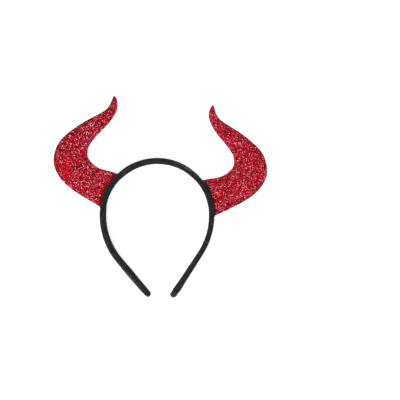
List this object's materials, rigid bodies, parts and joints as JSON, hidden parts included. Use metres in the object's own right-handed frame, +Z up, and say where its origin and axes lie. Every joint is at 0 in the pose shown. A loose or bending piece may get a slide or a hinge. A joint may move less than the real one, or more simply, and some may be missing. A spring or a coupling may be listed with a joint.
{
  "type": "devil horns headband",
  "caption": "Springy costume headband covered in black ribbon, with a pair of flat curved horns of red glitter cloth backed with black felt, lying on its edge.",
  "frame": {"origin": "under the middle of the whole, on the surface that the headband lies on", "axes": "+Z up out of the surface, +Y from the band's open ends to the middle of its crown, +X to the right with the glitter faces up"},
  "size_m": [0.2238, 0.2112, 0.0116],
  "materials": {
    "band_ribbon": "matte black woven ribbon over thin padding, with a faint sheen along the band",
    "folded_ribbon": "the same black ribbon, folded over the band's ends and creased",
    "glued_ribbon": "black ribbon folded round the band and glued, matte",
    "black_felt": "soft black felt, slightly fuzzy",
    "red_glitter_cloth": "chunky red glitter on cloth, with bright and dark flakes"
  },
  "bodies": {
    "root": {"headband": "band_ribbon", "end_cap_left": "folded_ribbon", "end_cap_right": "folded_ribbon", "horn_wrap_left": "glued_ribbon", "horn_wrap_right": "glued_ribbon", "horn_backing_left": "black_felt", "horn_backing_right": "black_felt", "horn_face_left": "red_glitter_cloth", "horn_face_right": "red_glitter_cloth"}
  },
  "joints": []
}
